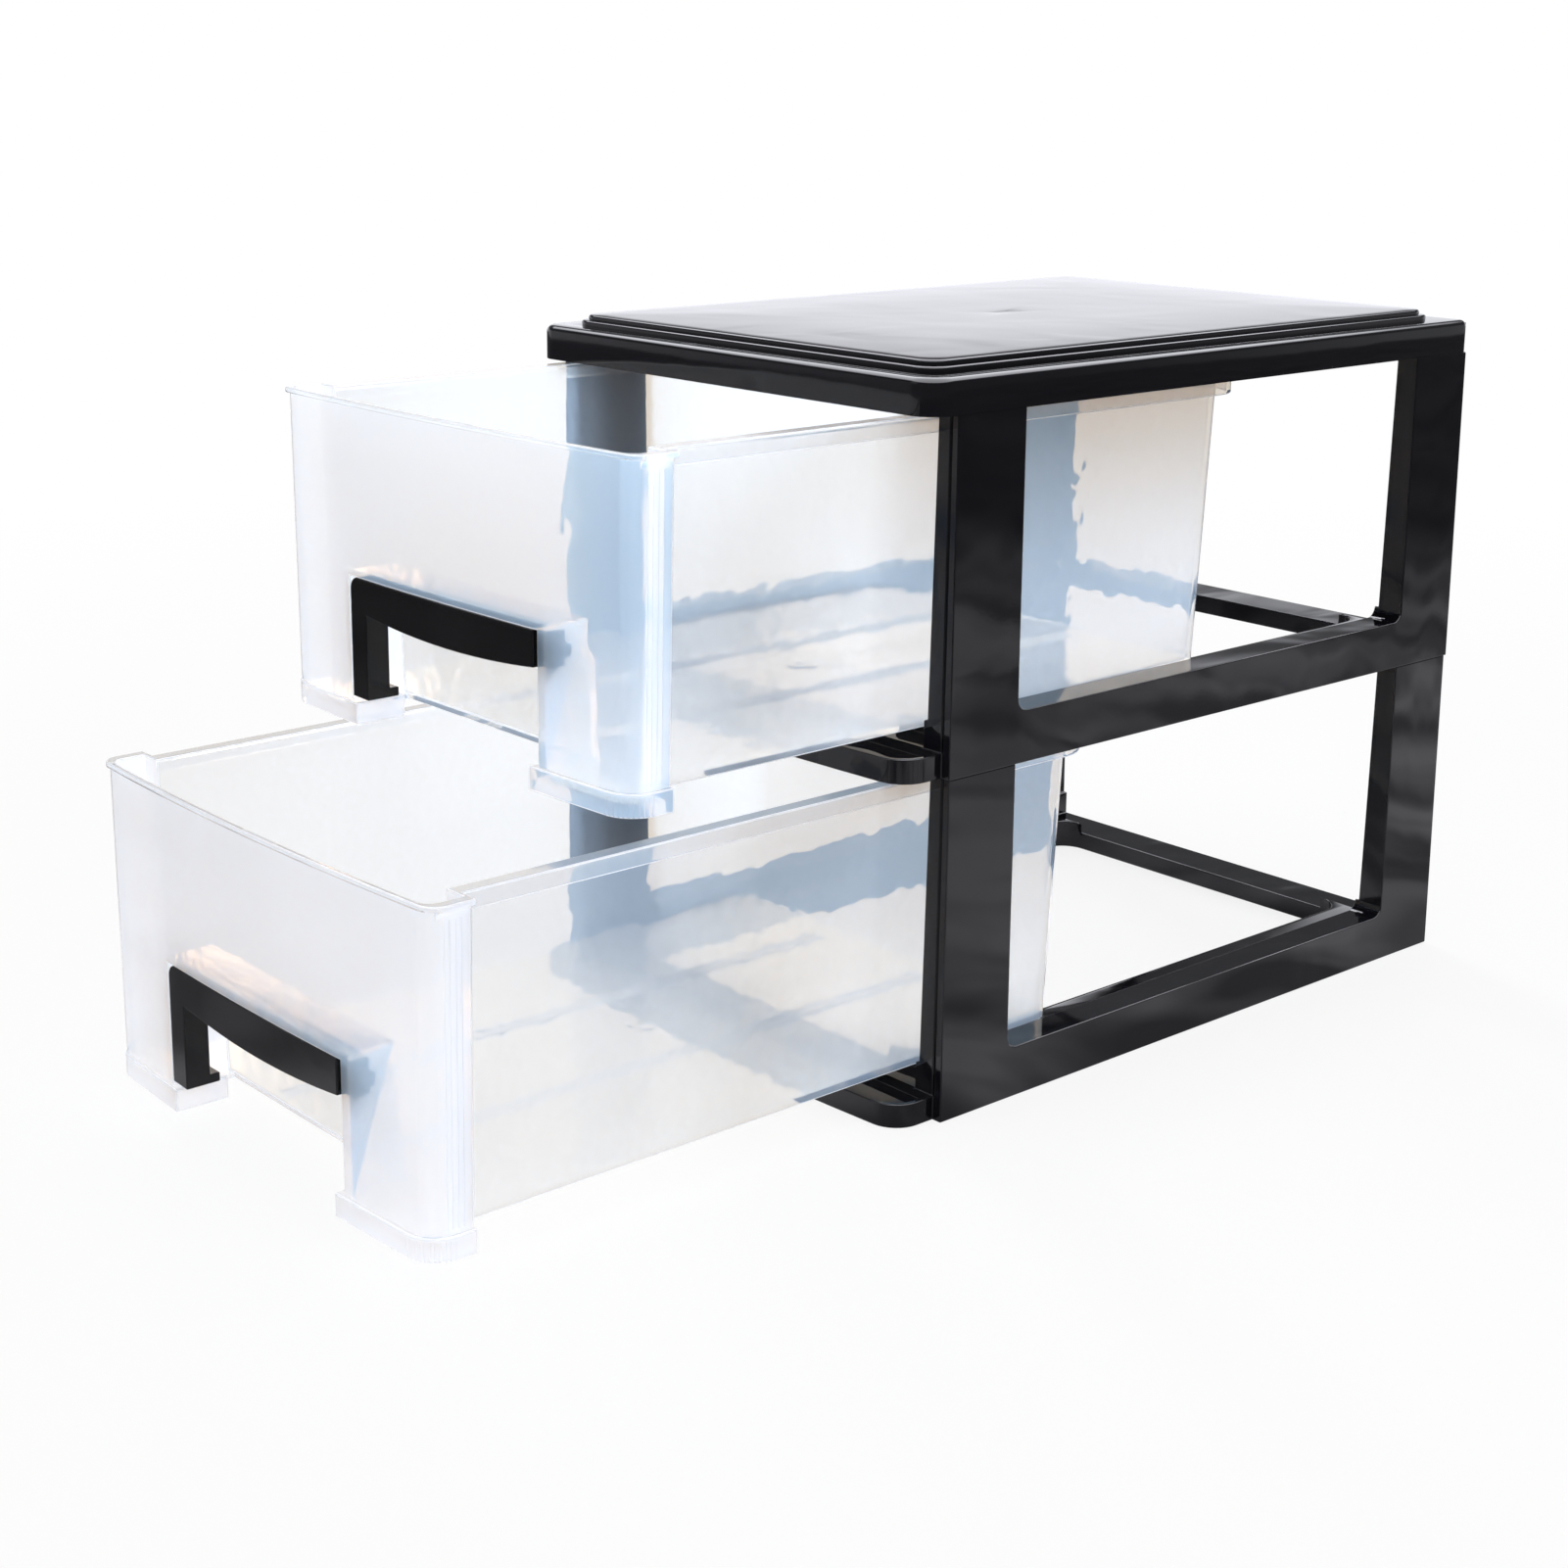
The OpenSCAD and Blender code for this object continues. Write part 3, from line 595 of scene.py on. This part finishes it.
# Every crease is rounded but those under the front's lip, which stands out by less than the rounding,
# the hollow ones on the feet, where short edges meet, and the rim of the slot for the handle's tenon
shape = bmesh.new()
shape.from_mesh(upper_drawer.data)
weight = shape.edges.layers.float.new("bevel_weight_edge")
for edge in shape.edges:
    corners = [v.co for v in edge.verts]
    under_lip = all(abs(c.z - FRONT.z - RIM_Z + RIM_THICK) < LEVEL_WITHIN and c.y < FRONT.y + LIP_DEEP
                    for c in corners)
    on_foot = all(abs(c.z - FRONT.z - FOOT_TOP) < LEVEL_WITHIN for c in corners) and not edge.is_convex
    at_slot = all(low < at < high for c in corners for low, at, high in zip(SLOT_LOW, c - FRONT, SLOT_HIGH))
    plain = under_lip or on_foot or at_slot
    if len(edge.link_faces) == 2 and edge.calc_face_angle() > CREASE and not plain:
        edge[weight] = 1
shape.to_mesh(upper_drawer.data)
shape.free()
# The rounding takes the whiter material, a painted highlight on every rounded crease.
apply_modifier(upper_drawer, "BEVEL", width=DRAWER_EDGE, segments=3, limit_method="WEIGHT",
               use_clamp_overlap=False, material=PAINTED_HIGHLIGHT_SLOT)


def rod(low, high, radius, vertices=16):
    """A round rod between two points on the drawer."""
    deselect_all()
    low, high = FRONT + Vector(low), FRONT + Vector(high)
    turn = (high - low).to_track_quat("Z", "Y").to_euler()
    bpy.ops.mesh.primitive_cylinder_add(vertices=vertices, radius=radius, depth=(high - low).length,
                                        location=(low + high) / 2, rotation=turn)
    bpy.ops.object.transform_apply(location=True, rotation=True, scale=True)
    return bpy.context.object


def joined(pieces):
    """One object out of several that don't touch."""
    deselect_all()
    for piece in pieces:
        piece.select_set(True)
    bpy.context.view_layer.objects.active = pieces[0]
    bpy.ops.object.join()
    return pieces[0]


# Flutes down the sides of the front, which lean out by 1.35 mm on the way up
FLUTES = (8.6 * MM, 10.3 * MM, 12.3 * MM, 14.1 * MM)
FLUTE_ROUND, FLUTE_OUT = 0.42 * MM, 0.2 * MM
FLUTE_LOW_X, FLUTE_HIGH_X = 88.57 * MM + FLUTE_OUT, 89.92 * MM + FLUTE_OUT
FLUTE_LOW_Z, FLUTE_HIGH_Z = 17 * MM, 106 * MM
grooves = [rod((side * FLUTE_LOW_X, y, FLUTE_LOW_Z), (side * FLUTE_HIGH_X, y, FLUTE_HIGH_Z), FLUTE_ROUND)
           for side in (-1, 1) for y in FLUTES]
cut(upper_drawer, joined(grooves))

# Coves that carry the flared ends of the rim
COVE_IN, COVE_OUT = 89.5 * MM, 92.45 * MM
COVE_FRONT, COVE_BACK = 6 * MM, 16.5 * MM
COVE_LOW, COVE_HIGH = RIM_Z - RIM_THICK - 2.6 * MM, RIM_Z - 0.4 * MM
COVE_ROUND = 0.3 * MM
SCOOP_X, SCOOP_ROUND, SCOOP_PAST = 92.6 * MM, 2.55 * MM, (4 * MM, 18 * MM)
for side in (-1, 1):
    x0, x1 = sorted((side * COVE_IN, side * COVE_OUT))
    cove = rounded_block("cove", FRONT + Vector((x0, COVE_FRONT, COVE_LOW)),
                         FRONT + Vector((x1, COVE_BACK, COVE_HIGH)), COVE_ROUND, COVE_ROUND, 2)
    cut(cove, rod(*((side * SCOOP_X, y, COVE_LOW) for y in SCOOP_PAST), SCOOP_ROUND, 32))
    cut(upper_drawer, cove, "UNION")

# Fine ribs round the outer corners of the feet
FOOT_CORNER, FOOT_ROUND = Vector((79 * MM, 11.83 * MM)), 11 * MM
RIBS, FIRST_RIB, RIB_STEP = 11, -84, 7.6
RIB_LOW, RIB_HIGH, RIB_ROUND = 7 * MM, 14.4 * MM, 0.3 * MM
RIB_CIRCLE = FOOT_ROUND + 0.08 * MM
ribs = []
for side in (-1, 1):
    for i in range(RIBS):
        angle = math.radians(FIRST_RIB + RIB_STEP * i)
        x = side * (FOOT_CORNER.x + RIB_CIRCLE * math.cos(angle))
        y = FOOT_CORNER.y + RIB_CIRCLE * math.sin(angle)
        ribs.append(rod((x, y, RIB_LOW), (x, y, RIB_HIGH), RIB_ROUND, 10))
cut(upper_drawer, joined(ribs))

# The disc that the gate leaves in the middle of the floor, and the nub on it
GATE_Y = 146 * MM
for low, high, radius, vertices in ((1, 2, 5, 40), (1.2, 2.5, 1, 16)):
    round_mark = rod((0, GATE_Y, FLOOR_Z + low * MM), (0, GATE_Y, FLOOR_Z + high * MM), radius * MM, vertices)
    cut(upper_drawer, round_mark, "UNION")

weld_cuts(upper_drawer)
bpy.ops.object.shade_smooth_by_angle(angle=DRAWER_CREASE)
apply_modifier(upper_drawer, "WEIGHTED_NORMAL", keep_sharp=True)
upper_drawer.data.materials.append(clear_front)
upper_drawer.data.materials.append(clear_floor)
for face in upper_drawer.data.polygons:
    if face.material_index != WALL_FINISH:
        continue
    if face.center.y < FRONT.y + FRONT_DEEP:
        face.material_index = FRONT_FINISH
    elif abs(face.normal.z) > 0.9 and face.center.z < FRONT.z + FOOT_TOP:
        face.material_index = FLOOR_FINISH

lower_drawer = second_copy(upper_drawer, "lower_drawer_moulding", (0, UPPER_PULL - LOWER_PULL, -TIER_HEIGHT))
for piece, node_name in ((upper_drawer, "upper_drawer"), (lower_drawer, "lower_drawer")):
    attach(piece, node_name)
    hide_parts(node_name)


# ---- Handles ----
# Each handle is a black bar with one leg, moulded in a harder plastic and clipped into the drawer front
# by the hook at the leg's foot and the tenon at the bar's other end.
HANDLE_BLACK, HANDLE_ROUGH, HANDLE_EDGE = (0.004, 0.004, 0.0045), 0.16, 0.42 * MM


def keep_inside(piece, node_name):
    """Moves what a rounding pushed out of the CAD solid's box back onto the box."""
    low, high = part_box(node_name)
    for vert in piece.data.vertices:
        vert.co = [min(max(c, a), b) for c, a, b in zip(vert.co, low, high)]


black_handle = black_plastic("black_handle", HANDLE_BLACK, HANDLE_ROUGH, ripple=0.12 * MM, scale=60,
                             stretch=(1, 1, 1), fine=0.05)
for name, body in (("upper_handle", "upper_drawer"), ("lower_handle", "lower_drawer")):
    handle = copy_of(name, name + "_moulding")
    soften_edges(handle, HANDLE_EDGE, 3)
    keep_inside(handle, name)
    handle.data.materials.append(black_handle)
    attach(handle, body)
    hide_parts(name)

deselect_all()
